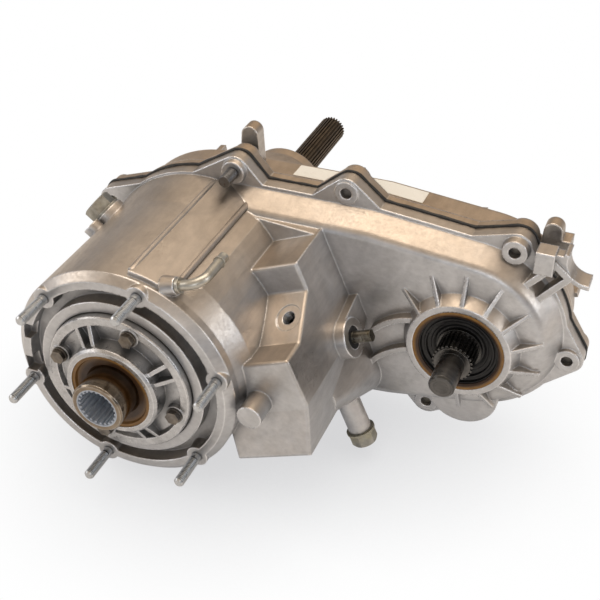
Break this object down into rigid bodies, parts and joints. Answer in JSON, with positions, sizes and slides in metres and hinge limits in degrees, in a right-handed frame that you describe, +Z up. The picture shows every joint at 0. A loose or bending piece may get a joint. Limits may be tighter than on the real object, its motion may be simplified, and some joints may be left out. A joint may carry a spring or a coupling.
{
  "type": "transfer case",
  "caption": "Two-speed chain-driven transfer case: planetary low range, front and rear outputs, side shift selector, studded input flange and finned cast alloy housing.",
  "frame": {"origin": "centre of the input flange's stud circle, on its mounting face", "axes": "+Y along the main shaft, from the input flange towards the rear output; +X towards the front output; +Z up"},
  "size_m": [0.4245, 0.476, 0.2375],
  "materials": {
    "amber_rubber": "amber seal",
    "bearing_steel": "ground",
    "black_plastic": "moulded",
    "black_rubber": "seal",
    "bronzed_steel": "polished, brown tint",
    "cast_alloy": "as-cast satin",
    "cast_alloy_inner": "as-cast",
    "cast_alloy_rear": "as-cast satin",
    "cast_alloy_retainer": "as-cast satin",
    "chain_steel": "oiled link plates",
    "dark_bolt": "phosphate",
    "dark_shaft": "dark oiled",
    "dark_shaft_front": "dark oiled",
    "gear_steel": "machined, oiled",
    "plain_steel": "ground",
    "sealant": "cured bead",
    "selector_steel": "yellow passivated",
    "shield_steel": "pressed sheet",
    "vent_alloy": "drawn tube",
    "white_label": "paper sticker",
    "zinc_bolt": "zinc plated",
    "zinc_plug": "zinc plated",
    "zinc_stud": "zinc plated"
  },
  "bodies": {
    "case_body": {"annulus_gear": "gear_steel", "breather": "vent_alloy", "case_bolts": "zinc_bolt", "case_dowels": "plain_steel", "case_sealant": "sealant", "detent_plug": "zinc_plug", "detent_spring": "plain_steel", "drive_chain": "chain_steel", "fill_plug": "zinc_plug", "front_case": "cast_alloy", "front_output_seal": "amber_rubber", "input_bearing_outer": "bearing_steel", "input_bearing_shield": "shield_steel", "input_retainer": "cast_alloy_retainer", "input_seal": "amber_rubber", "input_studs": "zinc_stud", "label": "white_label", "oil_pickup": "black_plastic", "oil_pump": "cast_alloy_inner", "output_bearing_outer": "bearing_steel", "output_bearing_shield": "shield_steel", "output_rear_bearing_outer": "bearing_steel", "rear_bearing_outer": "bearing_steel", "rear_bearing_shield": "shield_steel", "rear_case": "cast_alloy_rear", "retainer_bolts": "dark_bolt", "selector_seal": "black_rubber", "shift_rail": "plain_steel", "tail_bolts": "zinc_bolt", "tail_housing": "cast_alloy_rear", "tail_seal": "black_rubber"},
    "mainshaft_body": {"main_shaft": "dark_shaft", "mode_hub": "gear_steel", "rear_bearing_inner": "bearing_steel", "pump_rotor": "gear_steel", "sprocket_washer": "plain_steel", "bearing_spacer": "plain_steel"},
    "input_body": {"input_gear": "bronzed_steel", "input_bearing_inner": "bearing_steel", "pilot_bearing": "bearing_steel"},
    "carrier_body": {"planet_carrier": "gear_steel", "planet_pins": "plain_steel", "planet_washers": "plain_steel"},
    "planet_body_1": {"planet_gear_1": "gear_steel"},
    "planet_body_2": {"planet_gear_2": "gear_steel"},
    "planet_body_3": {"planet_gear_3": "gear_steel"},
    "planet_body_4": {"planet_gear_4": "gear_steel"},
    "range_sleeve_body": {"range_sleeve": "gear_steel"},
    "range_fork_body": {"range_fork": "cast_alloy_inner"},
    "mode_sleeve_body": {"mode_sleeve": "gear_steel"},
    "mode_fork_body": {"mode_fork": "cast_alloy_inner"},
    "selector_body": {"selector": "selector_steel"},
    "plunger_body": {"detent_plunger": "plain_steel"},
    "front_output_body": {"front_output_shaft": "dark_shaft_front", "driven_sprocket": "gear_steel", "output_bearing_inner": "bearing_steel", "output_rear_bearing_inner": "bearing_steel", "front_output_lip": "black_rubber"},
    "drive_sprocket_body": {"drive_sprocket": "gear_steel"}
  },
  "joints": [
    {"name": "mainshaft_spin", "type": "hinge", "parent": "case_body", "child": "mainshaft_body", "pos_m": [0, 0.2, 0], "axis": [0, 1, 0], "continuous": true},
    {"name": "input_spin", "type": "hinge", "parent": "case_body", "child": "input_body", "pos_m": [0, 0.02, 0], "axis": [0, 1, 0], "continuous": true},
    {"name": "carrier_spin", "type": "hinge", "parent": "case_body", "child": "carrier_body", "pos_m": [0, 0.045, 0], "axis": [0, 1, 0], "continuous": true},
    {"name": "planet_spin_1", "type": "hinge", "parent": "carrier_body", "child": "planet_body_1", "pos_m": [0.055, 0.045, 0], "axis": [0, 1, 0], "continuous": true},
    {"name": "planet_spin_2", "type": "hinge", "parent": "carrier_body", "child": "planet_body_2", "pos_m": [0, 0.045, 0.055], "axis": [0, 1, 0], "continuous": true},
    {"name": "planet_spin_3", "type": "hinge", "parent": "carrier_body", "child": "planet_body_3", "pos_m": [-0.055, 0.045, 0], "axis": [0, 1, 0], "continuous": true},
    {"name": "planet_spin_4", "type": "hinge", "parent": "carrier_body", "child": "planet_body_4", "pos_m": [0, 0.045, -0.055], "axis": [0, 1, 0], "continuous": true},
    {"name": "front_output_spin", "type": "hinge", "parent": "case_body", "child": "front_output_body", "pos_m": [0.224, 0.15, 0.005], "axis": [0, 1, 0], "continuous": true},
    {"name": "drive_sprocket_spin", "type": "hinge", "parent": "case_body", "child": "drive_sprocket_body", "pos_m": [0, 0.17, 0], "axis": [0, 1, 0], "continuous": true},
    {"name": "selector_turn", "type": "hinge", "parent": "case_body", "child": "selector_body", "pos_m": [0.12902, 0.1, 0.00316], "axis": [-0.9205, 0, -0.3907], "range_deg": [0, 45]},
    {"name": "range_fork_slide", "type": "slide", "parent": "case_body", "child": "range_fork_body", "axis": [0, 1, 0], "range_m": [0, 0.022]},
    {"name": "range_sleeve_slide", "type": "slide", "parent": "mainshaft_body", "child": "range_sleeve_body", "axis": [0, 1, 0], "range_m": [0, 0.022]},
    {"name": "mode_fork_slide", "type": "slide", "parent": "case_body", "child": "mode_fork_body", "axis": [0, 1, 0], "range_m": [0, 0.009]},
    {"name": "mode_sleeve_slide", "type": "slide", "parent": "mainshaft_body", "child": "mode_sleeve_body", "axis": [0, 1, 0], "range_m": [0, 0.009]},
    {"name": "plunger_slide", "type": "slide", "parent": "case_body", "child": "plunger_body", "axis": [0.3907, 0, -0.9205], "range_m": [0, 0.002]}
  ],
  "couplings": [
    {"joint": "input_spin", "follows": "mainshaft_spin", "ratio": 1},
    {"joint": "carrier_spin", "follows": "mainshaft_spin", "ratio": 0.36364},
    {"joint": "planet_spin_1", "follows": "mainshaft_spin", "ratio": -1.697},
    {"joint": "planet_spin_2", "follows": "mainshaft_spin", "ratio": -1.697},
    {"joint": "planet_spin_3", "follows": "mainshaft_spin", "ratio": -1.697},
    {"joint": "planet_spin_4", "follows": "mainshaft_spin", "ratio": -1.697},
    {"joint": "drive_sprocket_spin", "follows": "front_output_spin", "ratio": 1},
    {"joint": "range_fork_slide", "follows": "selector_turn", "m_per_rad": 0.028011},
    {"joint": "range_sleeve_slide", "follows": "selector_turn", "m_per_rad": 0.028011},
    {"joint": "mode_fork_slide", "follows": "selector_turn", "m_per_rad": 0.011459},
    {"joint": "mode_sleeve_slide", "follows": "selector_turn", "m_per_rad": 0.011459}
  ]
}
